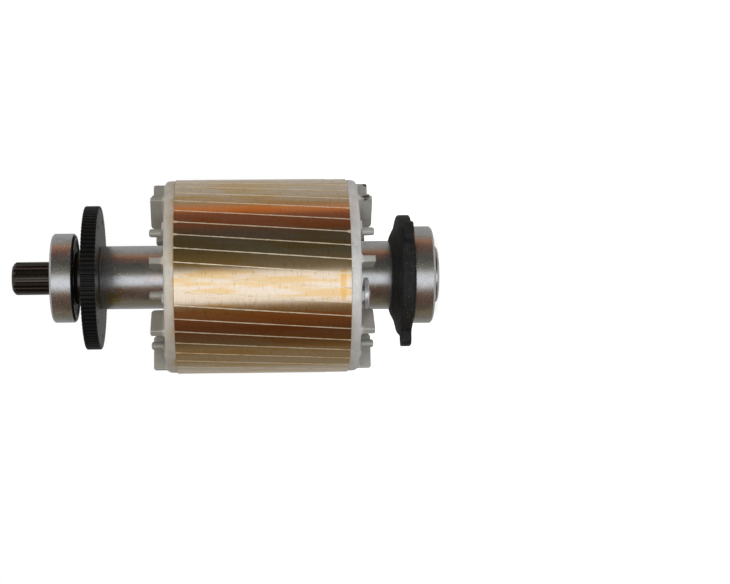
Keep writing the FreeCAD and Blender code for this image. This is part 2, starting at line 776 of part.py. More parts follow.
def make_ribbon_rivets(end, middle):
    """The rivets that hold the two halves of a ball cage together, as one group."""
    name = f"{end}_cage_rivets"
    body = new_body(name)
    body.AllowCompound = True
    count = f"{end}_ball_count"
    circle = f"({end}_inner_shoulder_radius + {end}_outer_shoulder_radius) / 2"
    low = f"({middle} - ribbon_thickness - ribbon_head_height)"
    lengths = [
        ("low_head", low, "ribbon_head_radius", "ribbon_head_height"),
        ("shank", f"{middle} - ribbon_thickness", "ribbon_rivet_radius", "2 * ribbon_thickness"),
        ("high_head", f"{middle} + ribbon_thickness", "ribbon_head_radius", "ribbon_head_height"),
    ]
    features = []
    for part, height, radius, length in lengths:
        sketch = level_sketch(body, f"{name}_{part}_outline", height, f"180 / {count}")
        draw_circle(sketch, circle, radius)
        features.append(pad(body, f"{name}_{part}", sketch, length))
    repeat(body, name + "_circle", features, count)


def make_bearing(end, low):
    """A shielded ball bearing: rings, balls, riveted cage halves and shields."""
    high = f"({low} + {end}_bearing_width)"
    middle = f"({low} + {end}_bearing_width / 2)"
    make_rings(end, low, middle, high)
    make_balls(end, middle)
    make_ribbon(f"{end}_cage_low_half", end, middle, "-")
    make_ribbon(f"{end}_cage_high_half", end, middle, "+")
    make_ribbon_rivets(end, middle)
    make_shield(f"{end}_low_shield", end, low, "+")
    make_shield(f"{end}_high_shield", end, high, "-")


def check_model():
    """Stops if any object failed or any sub-part is not a sound solid."""
    for thing in doc.Objects:
        if "Invalid" in thing.State or "Error" in thing.State:
            raise ValueError(f"{thing.Name} failed: {thing.State}")
    for part in parts:
        shape = part.Shape
        if shape.isNull() or not shape.isValid() or not shape.Solids:
            raise ValueError(f"{part.Label} is not a sound solid")


def write_parts():
    """Writes one STEP file for each sub-part."""
    os.makedirs("parts", exist_ok=True)
    for part in parts:
        part.Shape.exportStep(os.path.join("parts", part.Label + ".step"))


def main():
    fill_sheet()
    make_shaft()
    make_core()
    make_cage()
    make_washer()
    make_gear()
    make_plate()
    make_bearing("rear", REAR_BEARING)
    make_bearing("front", FRONT_BEARING)
    doc.recompute()
    check_model()
    write_parts()
    for part in parts:
        solids = part.Shape.Solids
        print(f"{part.Label}: {len(solids)} solids, {part.Shape.Volume:.0f} mm3")


main()
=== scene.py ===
import math
import random

import bpy
from mathutils import Matrix, Vector


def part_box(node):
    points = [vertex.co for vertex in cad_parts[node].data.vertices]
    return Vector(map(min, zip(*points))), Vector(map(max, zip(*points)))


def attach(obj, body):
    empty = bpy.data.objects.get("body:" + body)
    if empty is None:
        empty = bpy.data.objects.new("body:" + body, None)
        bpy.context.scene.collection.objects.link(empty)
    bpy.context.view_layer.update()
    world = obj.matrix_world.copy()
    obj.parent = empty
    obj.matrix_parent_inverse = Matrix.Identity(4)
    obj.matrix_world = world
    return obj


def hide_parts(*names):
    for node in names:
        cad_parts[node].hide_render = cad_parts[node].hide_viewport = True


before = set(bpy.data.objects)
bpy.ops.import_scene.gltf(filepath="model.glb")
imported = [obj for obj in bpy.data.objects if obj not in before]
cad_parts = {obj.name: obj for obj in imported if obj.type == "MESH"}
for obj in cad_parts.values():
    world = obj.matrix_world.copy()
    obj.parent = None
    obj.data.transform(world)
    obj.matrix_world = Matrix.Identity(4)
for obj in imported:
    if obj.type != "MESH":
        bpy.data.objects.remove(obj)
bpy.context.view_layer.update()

# Lengths are millimetres in the row frame, unless they say metres: +Z runs along the shaft to the
# spline, and -Y faces the camera
MM = 0.001
SEGMENTS = 160  # flat faces around a large turned piece
AXIS = 0.01  # a radius that stands for the axis itself, where a turned piece has no bore


def low_z(node):
    """Lowest place of a CAD node along the shaft, in millimetres."""
    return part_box(node)[0][2] / MM


def high_z(node):
    """Highest place of a CAD node along the shaft, in millimetres."""
    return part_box(node)[1][2] / MM


# The core and the edges of the cast bars in it
CORE_REAR = low_z("lamination_stack")
CORE_FRONT = high_z("lamination_stack")
CORE_RADIUS = 67.6
SEAT_RADIUS = 25.0  # of the core on the shaft
BAR_COUNT = 44
BAR_START = math.radians(-56.3)  # rear end of the first bar
BAR_SKEW = math.radians(7.5)
BAR_WIDTH = 0.65
BAR_DEPTH = 0.6
BAR_PROUD = 0.02  # how far a bar stands out of the core, so that its faces are seen
TOOTH_SUNK = 0.03  # how far the core lies under its full radius
TOOTH_FLATNESS = 0.035  # how much lower the middle of a tooth is than on a whole cylinder
FLASH_LENGTH = 3.2

# The two cast ends, each with as many pins as vanes
RING_THICKNESS = 7.0
RING_BORE = 41.0
RING_RIM = 66.9
VANE_COUNT = 8
VANE_HEIGHT = 9.4
VANE_REACH = 65.3
VANE_HALF = 2.5  # half of a vane's thickness at its foot
VANE_TAPER = 0.4  # what that half loses up to the crest
PIN_START = math.radians(-57.7)
PIN_CIRCLE = 55.2
PIN_HEIGHT = 9.8
PEENED_HEIGHT = 5.0  # of the one pin whose head is hammered over the washer
PAD_REACH = 64.2
PAD_HEIGHT = 1.9  # under the washer
PLAIN_PAD_HEIGHT = 1.3
SUNK = 1.0  # how deep vanes, pads and pins start inside the ring
CAST_DETAIL = 0.62  # cell size at which a casting's solids melt together
PLATE_DETAIL = 0.55
CAST_SMOOTHING = 3  # rounds of smoothing after that

# The balance washer
WASHER_BORE = 3.3
WASHER_RADIUS = 10.5

# The small holes in the gear's rear face
GEAR_HOLES = 7
GEAR_HOLE_CIRCLE = 41.5
GEAR_HOLE_START = 57  # degrees, as on_circle takes them
GEAR_HOLE_DEPTH = 8.0

# The shaft
THICK_RADIUS = 25  # in the core
REAR_RADIUS = 24  # from the core to the rear bearing
FRONT_RADIUS = 22  # from the core to the gear
GEAR_SEAT = 19
PILOT_RADIUS = 1.6  # of the centre hole in each end, and below the cone that opens it
PILOT_DEPTH = 9
COUNTERSINK_RADIUS = 4.35
COUNTERSINK_DEPTH = 4.8
SPLINE_TEETH = 18
SPLINE_ROOT = 10.15
SPLINE_RADIUS = 11.5

# The bearings: bore and land are the inner ring's, outside and seat the outer ring's radii
RACE_CHAMFER = 1.4
BEARINGS = {
    "rear": {"bore": 20, "land": 23.2, "outside": 34, "seat": 29.8},
    "front": {"bore": 15, "land": 19, "outside": 31, "seat": 26.6},
}

# The camera, as the photograph's own was found
CAMERA_DISTANCE = 1.1295  # in metres, as the next one
CAMERA_STAND = 0.1362  # along the shaft, from its rear end
CAMERA_TURN = math.radians(2.3)
SENSOR_WIDTH = 36
# In the photograph's pixels
PICTURE_WIDTH = 730
PICTURE_HEIGHT = 584
FOCAL_LENGTH = 1612.0
PICTURE_SLIDE = 57.7  # the photograph is the left part of a wider picture
SHAFT_LINE_X = 201.4  # a point that the shaft's line runs through
SHAFT_LINE_Y = 277.4
SHAFT_SLOPE = 0.0102  # of that line, in radians


# Meshes


def mesh_object(name, points, faces, material, sharp=32):
    """A mesh object from points in millimetres, smooth except at edges sharper than an angle."""
    mesh = bpy.data.meshes.new(name)
    mesh.from_pydata([Vector(p) * MM for p in points], [], faces)
    mesh.validate()
    mesh.materials.append(material)
    mesh.shade_smooth()
    mesh.set_sharp_from_angle(angle=math.radians(sharp))
    thing = bpy.data.objects.new(name, mesh)
    bpy.context.scene.collection.objects.link(thing)
    return thing


def softened(profile, radius):
    """A closed profile with each corner rounded by three points."""
    result = []
    for number, corner in enumerate(profile):
        before = Vector(profile[number - 1]) - Vector(corner)
        after = Vector(profile[(number + 1) % len(profile)]) - Vector(corner)
        cut = min(radius, before.length * 0.4, after.length * 0.4)
        first = Vector(corner) + before.normalized() * cut
        last = Vector(corner) + after.normalized() * cut
        # The middle one lies nearer to the corner than the straight cut does
        middle = (first + last) * 0.35 + Vector(corner) * 0.3
        result += [tuple(first), tuple(middle), tuple(last)]
    return result


def turned_mesh(profile, centre=(0, 0), segments=SEGMENTS):
    """Points and faces of a closed profile of (radius, height) turned about a line along Z."""
    points = []
    for step in range(segments):
        angle = 2 * math.pi * step / segments
        for radius, height in profile:
            x = centre[0] + radius * math.cos(angle)
            y = centre[1] + radius * math.sin(angle)
            points.append((x, y, height))
    count = len(profile)
    faces = []
    for step in range(segments):
        here, there = step * count, (step + 1) % segments * count
        for k in range(count):
            following = (k + 1) % count
            faces.append((here + k, there + k, there + following, here + following))
    return points, faces


def turned(name, profile, material, soft=0.25, centre=(0, 0), segments=SEGMENTS):
    """A turned piece with slightly rounded edges. The profile runs counterclockwise."""
    return mesh_object(name, *turned_mesh(softened(profile, soft), centre, segments), material)


def merged(meshes):
    """Points and faces of several meshes as one."""
    points, faces = [], []
    for more_points, more_faces in meshes:
        start = len(points)
        points += more_points
        faces += [tuple(start + k for k in face) for face in more_faces]
    return points, faces


def cast(thing, voxel, smoothing):
    """Melts the overlapping solids of a mesh into one casting, whose fillets are about a voxel wide."""
    melt = thing.modifiers.new("melt", "REMESH")
    melt.mode = "VOXEL"
    melt.voxel_size = voxel * MM
    melt.use_smooth_shade = True
    calm = thing.modifiers.new("calm", "SMOOTH")
    calm.iterations = smoothing
    calm.factor = 0.5
    graph = bpy.context.evaluated_depsgraph_get()
    mesh = bpy.data.meshes.new_from_object(thing.evaluated_get(graph))
    thing.modifiers.clear()
    thing.data = mesh
    return thing


# Materials


class Look:
    """A material and short ways to add nodes to it. Its textures use the row frame."""

    def __init__(self, name, colour, metallic, roughness):
        self.material = bpy.data.materials.new(name)
        self.material.use_nodes = True
        self.tree = self.material.node_tree
        self.shader = self.tree.nodes["Principled BSDF"]
        self.shader.inputs["Base Color"].default_value = (*colour, 1)
        self.shader.inputs["Metallic"].default_value = metallic
        self.shader.inputs["Roughness"].default_value = roughness
        self.colour = colour
        self.paint = None
        self.height = None
        self.place = self.node("ShaderNodeTexCoord").outputs["Object"]

    def node(self, kind, **settings):
        made = self.tree.nodes.new(kind)
        for name, setting in settings.items():
            setattr(made, name, setting)
        return made

    def join(self, source, socket):
        """Links a socket to another, or sets it to a plain value."""
        if isinstance(source, bpy.types.NodeSocket):
            self.tree.links.new(source, socket)
        else:
            socket.default_value = source

    def scaled(self, scale):
        """The place in the row frame, stretched by a factor along each axis."""
        made = self.node("ShaderNodeMapping")
        self.join(self.place, made.inputs["Vector"])
        made.inputs["Scale"].default_value = scale
        return made.outputs["Vector"]

    def noise(self, scale, detail=4, stretch=(1, 1, 1), rough=0.55):
        """Cloudy noise from 0 to 1. scale counts clouds per metre."""
        made = self.node("ShaderNodeTexNoise")
        self.join(self.scaled(stretch), made.inputs["Vector"])
        made.inputs["Scale"].default_value = scale
        made.inputs["Detail"].default_value = detail
        made.inputs["Roughness"].default_value = rough
        return made.outputs["Fac"]

    def specks(self, scale, size):
        """Round specks: 1 in a speck and 0 around it."""
        made = self.node("ShaderNodeTexVoronoi")
        self.join(self.place, made.inputs["Vector"])
        made.inputs["Scale"].default_value = scale
        return self.between(made.outputs["Distance"], size, size * 0.5)

    def between(self, source, low, high):
        """0 at low, 1 at high, and smooth between them."""
        made = self.node("ShaderNodeMapRange", interpolation_type="SMOOTHSTEP")
        self.join(source, made.inputs["Value"])
        made.inputs["From Min"].default_value = low
        made.inputs["From Max"].default_value = high
        return made.outputs["Result"]

    def times(self, first, second, operation="MULTIPLY"):
        """Two sockets or values multiplied, or joined by another operation."""
        made = self.node("ShaderNodeMath", operation=operation)
        self.join(first, made.inputs[0])
        self.join(second, made.inputs[1])
        return made.outputs[0]

    def spot(self, centre, radius, ragged=0.5):
        """1 around a point in millimetres, with a ragged edge, and 0 away from it."""
        made = self.node("ShaderNodeVectorMath", operation="DISTANCE")
        self.join(self.place, made.inputs[0])
        made.inputs[1].default_value = [c * MM for c in centre]
        wander = self.times(self.times(self.noise(400), 0.5, "SUBTRACT"), ragged * radius * 2 * MM)
        distance = self.times(made.outputs["Value"], wander, "ADD")
        return self.between(distance, radius * MM, radius * 0.6 * MM)

    def along(self, low, high):
        """0 at one height along the shaft and 1 at another, in millimetres."""
        split = self.node("ShaderNodeSeparateXYZ")
        self.join(self.place, split.inputs[0])
        return self.between(split.outputs["Z"], low * MM, high * MM)

    def tint(self, mask, colour, amount=1.0):
        """Mixes a colour in where the mask is 1."""
        made = self.node("ShaderNodeMix", data_type="RGBA")
        self.join(self.times(mask, amount), made.inputs["Factor"])
        self.join(self.paint or (*self.colour, 1), made.inputs["A"])
        made.inputs["B"].default_value = (*colour, 1)
        self.paint = made.outputs["Result"]
        self.join(self.paint, self.shader.inputs["Base Color"])

    def rough(self, source, low, high):
        """Roughness that follows a mask."""
        made = self.node("ShaderNodeMapRange")
        self.join(source, made.inputs["Value"])
        made.inputs["To Min"].default_value = low
        made.inputs["To Max"].default_value = high
        self.join(made.outputs["Result"], self.shader.inputs["Roughness"])

    def bump(self, source, depth, strength=1.0):
        """Raises the surface where the source is bright, by a depth in millimetres."""
        made = self.node("ShaderNodeBump")
        made.inputs["Distance"].default_value = depth * MM
        made.inputs["Strength"].default_value = strength
        self.join(source, made.inputs["Height"])
        if self.height:
            self.join(self.height, made.inputs["Normal"])
        self.height = made.outputs["Normal"]
        self.join(self.height, self.shader.inputs["Normal"])


def on_circle(radius, degrees, height):
    """A point in millimetres. The angle is 0 towards the camera and positive towards +X."""
    angle = math.radians(degrees - 90)
    return radius * math.cos(angle), radius * math.sin(angle), height


def laminations_look():
    """Turned steel sheets under a thin golden varnish."""
    look = Look("varnished_laminations", (0.90, 0.77, 0.61), 1.0, 0.15)
    look.tint(look.between(look.noise(110, 3, (1, 1, 0.12)), 0.48, 0.58), (0.88, 0.61, 0.27), 0.8)
    look.tint(look.between(look.noise(9000, 2, (0.01, 0.01, 1)), 0.5, 0.7), (0.62, 0.48, 0.30), 0.5)
    look.tint(look.between(look.noise(900, 5, (0.25, 0.25, 1)), 0.57, 0.70), (0.46, 0.31, 0.17), 0.45)
    # A run of varnish around a part of the core, near its rear end
    middle = CORE_REAR + 5.5
    run = look.times(look.along(middle - 2.5, middle - 1.3), look.along(middle + 2.5, middle + 1.3))
    run = look.times(run, look.between(look.noise(200, 3), 0.30, 0.42))
    run = look.times(run, look.spot(on_circle(CORE_RADIUS, -5, middle), 12.5, 0.2))
    look.tint(run, (0.86, 0.50, 0.12), 0.7)
    look.rough(look.noise(700, 4, (0.3, 0.3, 1)), 0.08, 0.20)
    look.bump(look.noise(9000, 2, (0.004, 0.004, 1)), 0.01, 0.4)
    return look.material


def cast_look(name, colour, edge_colour, edge, vane_shade_colour, vanes):
    """Matte cast aluminium with pits, a tint towards the core, painted shade darkening the vanes and pins,
    and painted highlight and shade at crests and corners. edge and vanes say between which heights each
    grows.
    """
    look = Look(name, colour, 0.55, 0.5)
    look.tint(look.between(look.noise(120, 4), 0.4, 0.7), [c * 0.84 for c in colour], 0.8)
    look.tint(look.between(look.noise(1300, 5), 0.56, 0.72), [c * 0.72 for c in colour], 0.7)
    stain = look.times(look.along(*edge), look.between(look.noise(90, 3), 0.35, 0.6))
    look.tint(stain, edge_colour, 0.75)
    pits = look.times(look.specks(420, 0.16), look.between(look.noise(70), 0.5, 0.56))
    look.tint(pits, (0.09, 0.085, 0.08), 0.9)
    # Painted shade: vanes and pins darker out beyond the ring, for the darker room they reflect
    look.tint(look.along(*vanes), vane_shade_colour, 0.8)
    # Painted highlight on sharp crests and painted shade in hollow corners, both from the mesh's pointiness
    edges = look.node("ShaderNodeNewGeometry").outputs["Pointiness"]
    look.tint(look.between(edges, 0.53, 0.60), (0.80, 0.79, 0.76), 0.7)
    look.tint(look.between(edges, 0.47, 0.42), (0.20, 0.19, 0.16), 0.6)
    look.rough(look.noise(500), 0.36, 0.62)
    look.bump(look.noise(1500, 4), 0.12, 0.7)
    look.bump(look.noise(300, 2), 0.25, 0.5)
    return look


def front_cast_look():
    """The front casting: warm, brown towards the core, and with painted shade darkening its vanes and pins.
    """
    look = cast_look(
        "warm_cast_aluminium", (0.64, 0.60, 0.53),
        (0.50, 0.38, 0.20), (CORE_FRONT + 5.5, CORE_FRONT - 0.5),
        # Painted shade on the vanes and pins, and the heights where it grows
        (0.27, 0.265, 0.235), (CORE_FRONT + 6.5, CORE_FRONT + 9.5),
    )
    return look.material


def rear_cast_look():
    """The rear casting: cooler and paler, with two rusty marks on the vanes' outer ends."""
    look = cast_look(
        "cast_aluminium", (0.74, 0.75, 0.75),
        (0.60, 0.58, 0.52), (CORE_REAR - 6, CORE_REAR),
        # Painted shade on the vanes and pins, and the heights where it grows
        (0.38, 0.38, 0.345), (CORE_REAR - 6.5, CORE_REAR - 9.5),
    )
    look.tint(look.spot(on_circle(64.5, 55, CORE_REAR - 12), 3.4, 0.8), (0.05, 0.025, 0.018), 0.92)
    look.tint(look.spot(on_circle(64.8, 98, CORE_REAR - 15), 2.2, 0.8), (0.05, 0.04, 0.04), 0.9)
    return look.material


def bar_look():
    """The edges of the cast bars, turned flush with the core."""
    look = Look("turned_aluminium", (0.80, 0.70, 0.53), 0.62, 0.36)
    look.tint(look.between(look.noise(500, 4, (1, 1, 0.3)), 0.5, 0.68), (0.52, 0.40, 0.25), 0.7)
    return look.material


def steel_look(name, colour, roughness, lines=0.03):
    """Ground steel with fine lines around the axis and oil specks."""
    look = Look(name, colour, 0.96, roughness)
    look.tint(look.between(look.noise(150, 4, (1, 1, 0.5)), 0.48, 0.72), [c * 0.72 for c in colour], 0.7)
    look.tint(look.between(look.noise(2200, 4), 0.55, 0.68), [c * 0.4 for c in colour], 0.7)
    look.rough(look.noise(300, 4), roughness * 0.8, roughness * 1.4)
    look.bump(look.noise(12000, 2, (0.004, 0.004, 1)), lines, 0.5)
    return look


def shade_towards_gear(look):
    """The same steel, with painted shade darkening the front bearing's face towards the gear, in the gap
    between them.
    """
    face = low_z("front_outer_ring")
    # Painted shade on the face that looks into the gap towards the gear
    look.tint(look.along(face + 1.5, face + 1.1), (0.03, 0.03, 0.032), 0.85)
    return look.material


def shaft_look():
    """Ground steel, dark on the spline, with painted shade between gear and bearing and in the rear centre
    hole.
    """
    look = steel_look("ground_steel", (0.61, 0.63, 0.65), 0.23)
    spline = high_z("front_outer_ring")
    bearing = low_z("front_outer_ring")
    gear = high_z("speed_gear")
    look.tint(look.along(spline + 0.5, spline + 1.5), (0.055, 0.046, 0.038), 0.95)
    # Painted shade on the shaft in the gap between gear and bearing
    gap_shade = look.times(look.along(gear - 1.7, gear - 0.7), look.along(bearing + 1.5, bearing + 0.5))
    look.tint(gap_shade, (0.05, 0.045, 0.04), 0.9)
    # Stains between core and gear: yellow-green, brown and pink
    look.tint(look.spot(on_circle(FRONT_RADIUS, -41, 226), 7.0, 0.9), (0.50, 0.48, 0.14), 0.8)
    look.tint(look.spot(on_circle(FRONT_RADIUS, -25, 221), 4.0, 0.9), (0.42, 0.36, 0.16), 0.4)
    look.tint(look.spot(on_circle(FRONT_RADIUS, 0, 196), 4.5, 0.8), (0.82, 0.66, 0.62), 0.4)
    # Painted shade in the rear centre hole
    look.tint(look.spot((0, 0, 0), 4.2, 0.1), (0.06, 0.045, 0.035), 0.9)
    return look.material


def gear_look():
    """Oiled black oxide, paler on the rear face, with painted shade around the small holes there."""
    look = Look("black_oxide", (0.007, 0.007, 0.007), 0.0, 0.3)
    face = low_z("speed_gear")
    look.tint(look.along(face + 0.3, face + 0.1), (0.060, 0.052, 0.045), 0.9)
    # Painted shade: a near-black spot over each small hole in the rear face
    for number in range(GEAR_HOLES):
        degrees = GEAR_HOLE_START + number * 360 / GEAR_HOLES
        look.tint(look.spot(on_circle(GEAR_HOLE_CIRCLE, degrees, face), 4.2, 0.3), (0.001, 0.001, 0.001))
    look.tint(look.between(look.noise(300, 5), 0.5, 0.75), (0.012, 0.011, 0.010), 0.7)
    look.tint(look.between(look.noise(2600, 3), 0.70, 0.78), (0.12, 0.11, 0.10), 0.4)
    look.rough(look.noise(500, 4), 0.28, 0.48)
    look.shader.inputs["Specular IOR Level"].default_value = 0.16
    return look.material


def plate_look():
    """Rough black coating with pale specks."""
    look = Look("black_casting", (0.006, 0.007, 0.007), 0.0, 0.6)
    look.shader.inputs["Specular IOR Level"].default_value = 0.35
    look.tint(look.between(look.noise(1800, 4), 0.5, 0.68), (0.030, 0.032, 0.032), 0.8)
    specks = look.times(look.specks(700, 0.22), look.between(look.noise(500), 0.52, 0.6))
    look.tint(specks, (0.45, 0.44, 0.42), 0.45)
    look.rough(look.noise(900), 0.42, 0.75)
    look.bump(look.noise(1500, 5), 0.35, 0.9)
    return look.material


def zinc_look():
    """Dull zinc plating with darker clouds."""
    look = Look("zinc_plate", (0.74, 0.77, 0.82), 0.85, 0.34)
    look.tint(look.between(look.noise(600, 4), 0.5, 0.7), (0.45, 0.48, 0.54), 0.6)
    look.bump(look.noise(2500, 3), 0.05, 0.5)
    return look.material


# The core and its cage


def bar_angle(number, height):
    """Direction of a bar's middle at a height along the skewed core."""
    share = (height - CORE_REAR) / (CORE_FRONT - CORE_REAR)
    return BAR_START + 2 * math.pi * number / BAR_COUNT + BAR_SKEW * share


def make_core(material):
    """The turned core: each tooth between two bars is slightly flatter than the whole cylinder."""
    columns, rows = 7, 24
    points, faces = [], []
    total = BAR_COUNT * columns
    heights = [CORE_REAR + (CORE_FRONT - CORE_REAR) * k / rows for k in range(rows + 1)]
    for height in heights:
        for step in range(total):
            number, place = divmod(step, columns)
            across = 2 * place / columns - 1
            radius = CORE_RADIUS - TOOTH_SUNK - TOOTH_FLATNESS * (1 - across**2)
            angle = bar_angle(number, height) + 2 * math.pi / BAR_COUNT * place / columns
            points.append((radius * math.cos(angle), radius * math.sin(angle), height))
    for row in range(rows):
        for step in range(total):
            here, there = row * total + step, row * total + (step + 1) % total
            faces.append((here, there, there + total, here + total))
    # The two end faces, and then the bore between them
    for row, height in ((0, CORE_REAR), (rows, CORE_FRONT)):
        start = len(points)
        for step in range(total):
            angle = math.atan2(points[row * total + step][1], points[row * total + step][0])
            points.append((SEAT_RADIUS * math.cos(angle), SEAT_RADIUS * math.sin(angle), height))
        for step in range(total):
            following = (step + 1) % total
            face = (row * total + step, start + step, start + following, row * total + following)
            faces.append(face if row == 0 else face[::-1])
    rear_bore, front_bore = len(points) - 2 * total, len(points) - total
    for step in range(total):
        following = (step + 1) % total
        faces.append((rear_bore + step, front_bore + step, front_bore + following, rear_bore + following))
    core = mesh_object("core", points, faces, material, sharp=50)
    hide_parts("lamination_stack")
    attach(core, "rotor")


def make_bars(material):
    """The bars' edges in the core's surface, with a little flash where they meet the rings."""
    rows, dice = 40, random.Random(7)
    points, faces = [], []
    radius = CORE_RADIUS + BAR_PROUD
    for number in range(BAR_COUNT):
        start = len(points)
        flash = [max(0, dice.uniform(-0.6, 0.9)), max(0, dice.uniform(-0.6, 0.7))]
        for row in range(rows + 1):
            height = CORE_REAR + (CORE_FRONT - CORE_REAR) * row / rows
            from_end = min(height - CORE_REAR, CORE_FRONT - height)
            width = BAR_WIDTH / 2 + dice.uniform(-0.06, 0.06)
            width += flash[row > rows / 2] * max(0, 1 - from_end / FLASH_LENGTH)
            middle = bar_angle(number, height)
            for side, depth in ((-1, BAR_DEPTH), (-1, 0), (1, 0), (1, BAR_DEPTH)):
                angle = middle + side * width / radius
                reach = radius - depth
                points.append((reach * math.cos(angle), reach * math.sin(angle), height))
        for row in range(rows):
            for k in range(3):
                low = start + row * 4 + k
                faces.append((low, low + 1, low + 5, low + 4)[::-1])
    bars = mesh_object("bar_edges", points, faces, material)
    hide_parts("squirrel_cage")
    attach(bars, "rotor")


def vane_mesh(angle, face, out):
    """One vane: its side outline, thinner towards the crest, as a prism. out is 1 in front and -1 behind."""
    inner, outer, crest = RING_BORE + 0.4, VANE_REACH, VANE_HEIGHT
    outline = [(inner, -SUNK), (inner, crest - 2.1), (inner + 0.7, crest - 0.7), (inner + 2.1, crest)]
    outline += [(outer - 0.9, crest), (outer - 0.2, crest - 0.5), (outer, crest - 1.4), (outer, -SUNK)]
    points = []
    for side in (-1, 1):
        for radius, height in outline:
            half = VANE_HALF - VANE_TAPER * height / VANE_HEIGHT
            turn = Matrix.Rotation(angle, 3, "Z") @ Vector((radius, side * half, 0))
            points.append((turn.x, turn.y, face + out * height))
    count = len(outline)
    faces = [tuple(range(count)), tuple(range(2 * count - 1, count - 1, -1))]
    for k in range(count):
        following = (k + 1) % count
        faces.append((k, count + k, count + following, following))
    if out > 0:
        faces = [face[::-1] for face in faces]
    return points, faces


def pad_mesh(angle, face, out, raised):
    """The low pad between a pin and the rim."""
    inner, rounded = PIN_CIRCLE - 0.5, PAD_REACH - 0.8
    outline = [(inner, -3.8), (rounded, -3.5), (PAD_REACH, -2.5)]
    outline += [(PAD_REACH, 2.5), (rounded, 3.5), (inner, 3.8)]
    points = []
    for height in (-SUNK, raised):
        for radius, side in outline:
            turn = Matrix.Rotation(angle, 3, "Z") @ Vector((radius, side, 0))
            points.append((turn.x, turn.y, face + out * height))
    faces = [(5, 4, 3, 2, 1, 0), (6, 7, 8, 9, 10, 11)]
    faces += [(k, (k + 1) % 6, (k + 1) % 6 + 6, k + 6) for k in range(6)]
    if out < 0:
        faces = [face[::-1] for face in faces]
    return points, faces


def pin_mesh(angle, face, out, peened):
    """One pin with a rounded tip, or only its shank where the washer is hammered on."""
    centre = (PIN_CIRCLE * math.cos(angle), PIN_CIRCLE * math.sin(angle))
    tip = PIN_HEIGHT
    outline = [(AXIS, -SUNK), (3.3, -SUNK), (3.0, 0.8)]
    outline += [(2.75, tip - 1.1), (2.4, tip - 0.3), (1.5, tip), (AXIS, tip)]
    if peened:
        outline = [(AXIS, -SUNK), (3.1, -SUNK), (3.1, PEENED_HEIGHT), (AXIS, PEENED_HEIGHT)]
    outline = [(radius, face + out * height) for radius, height in outline]
    return turned_mesh(outline if out > 0 else outline[::-1], centre, 32)


def make_ring_end(name, core_face, out, material):
    """One cast end: ring, vanes, pins and pads melted together."""
    face = core_face + out * RING_THICKNESS
    outline = [(RING_BORE, core_face), (RING_RIM, core_face)]
    # The rim leans in a little and is rounded towards the vanes
    outline += [(RING_RIM - 0.15, core_face + out * 4.6), (RING_RIM - 0.55, core_face + out * 5.9)]
    outline += [(RING_RIM - 1.2, face - out * 0.2), (RING_RIM - 1.9, face)]
    outline += [(RING_BORE + 0.6, face), (RING_BORE, face - out * 0.6)]
    meshes = [turned_mesh(outline if out > 0 else outline[::-1])]
    for number in range(VANE_COUNT):
        angle = PIN_START + 2 * math.pi * number / VANE_COUNT
        meshes.append(vane_mesh(angle - math.pi / VANE_COUNT, face, out))
        peened = out < 0 and number == VANE_COUNT - 1
        meshes.append(pad_mesh(angle, face, out, PAD_HEIGHT if peened else PLAIN_PAD_HEIGHT))
        meshes.append(pin_mesh(angle, face, out, peened))
    end = cast(mesh_object(name, *merged(meshes), material), CAST_DETAIL, CAST_SMOOTHING)
    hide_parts("squirrel_cage")
    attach(end, "rotor")


def make_washer(washer_material, head_material):
    """The balance washer and the hammered pin head on it."""
    angle = PIN_START - 2 * math.pi / VANE_COUNT
    centre = (PIN_CIRCLE * math.cos(angle), PIN_CIRCLE * math.sin(angle))
    low, high = low_z("balance_washer"), high_z("balance_washer")
    bore, rim = WASHER_BORE, WASHER_RADIUS
    outline = [(bore, low), (rim - 0.4, low), (rim, low + 0.5)]
    outline += [(rim, high - 0.3), (rim - 0.3, high), (bore, high)]
    washer = turned("zinc_washer", outline, washer_material, 0.2, centre, 72)
    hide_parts("balance_washer")
    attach(washer, "rotor")
    dome = [(AXIS, low + 0.2), (AXIS, low - 1.75), (1.4, low - 1.6), (2.6, low - 1.25)]
    dome += [(3.5, low - 0.6), (3.85, low), (3.6, low + 0.2)]
    head = turned("pin_head", dome, head_material, 0.2, centre, 40)
    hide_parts("squirrel_cage")
    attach(head, "rotor")


# Shaft, gear, plate and bearings


